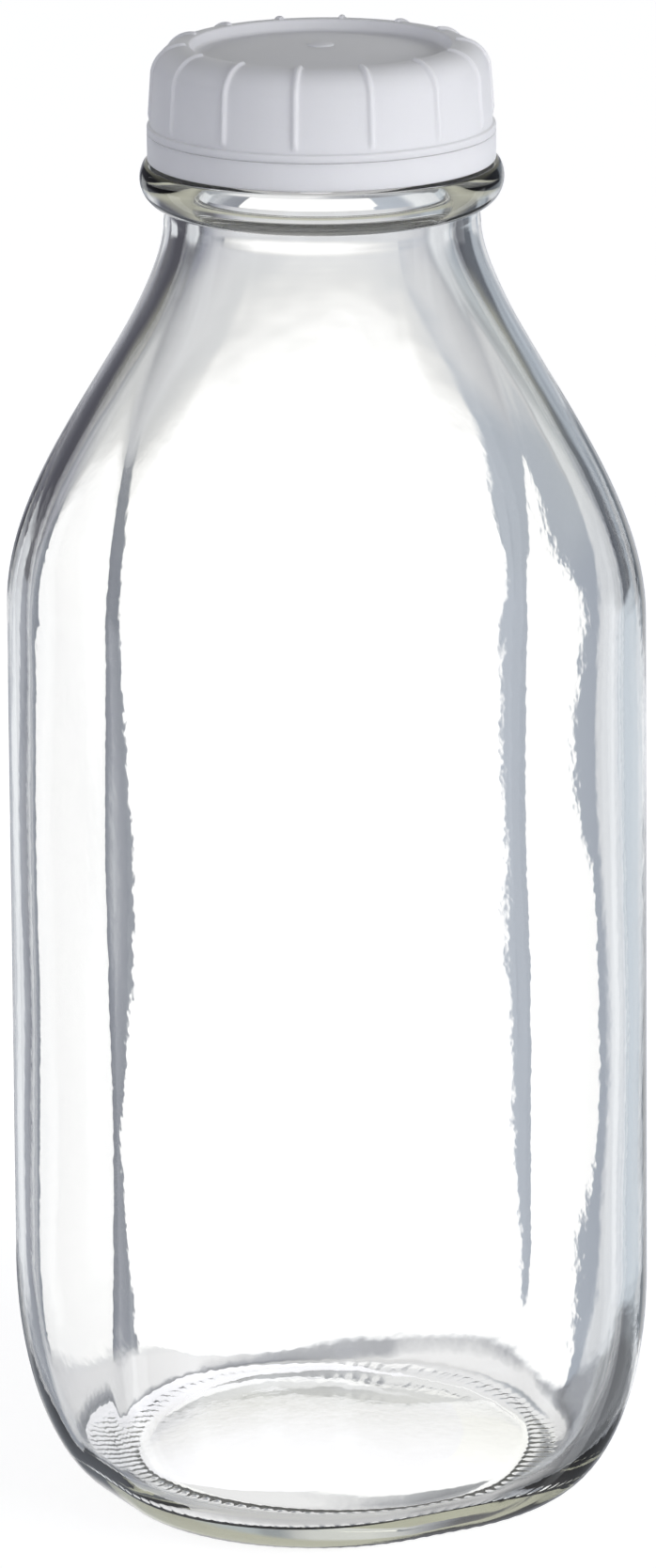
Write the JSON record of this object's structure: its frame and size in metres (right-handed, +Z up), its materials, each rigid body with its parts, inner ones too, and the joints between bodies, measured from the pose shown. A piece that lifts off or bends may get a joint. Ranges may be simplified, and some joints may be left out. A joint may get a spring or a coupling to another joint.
{
  "type": "milk bottle",
  "caption": "Clear square-sided glass milk bottle with wide round corners, a long shoulder and a beaded neck, closed by a ribbed white screw cap with a tear band.",
  "frame": {"origin": "centre of the base, on the plane that the bottle stands on", "axes": "+Z up along the bottle's axis to the cap; the four flat sides face +X, -X, +Y and -Y"},
  "size_m": [0.088, 0.088, 0.2229],
  "materials": {
    "clear_glass": "polished, faintly green where it is thick",
    "cap_plastic": "satin moulded white plastic",
    "liner_foam": "matte white foam",
    "band_plastic": "satin moulded white plastic"
  },
  "bodies": {
    "bottle": {"glass_bottle": "clear_glass"},
    "liner": {"seal_liner": "liner_foam"},
    "cap": {"screw_cap": "cap_plastic"},
    "band": {"tear_band": "band_plastic"}
  },
  "joints": [
    {"name": "cap_lift", "type": "slide", "parent": "bottle", "child": "liner", "axis": [0, 0, 1], "range_m": [0, 0.0257]},
    {"name": "cap_turn", "type": "hinge", "parent": "liner", "child": "cap", "pos_m": [0, 0, 0.2094], "axis": [0, 0, 1], "range_deg": [0, 720]},
    {"name": "band_turn", "type": "hinge", "parent": "bottle", "child": "band", "pos_m": [0, 0, 0.2051], "axis": [0, 0, 1], "continuous": true}
  ],
  "couplings": [
    {"joint": "cap_lift", "follows": "cap_turn", "m_per_rad": 0.0020372}
  ]
}
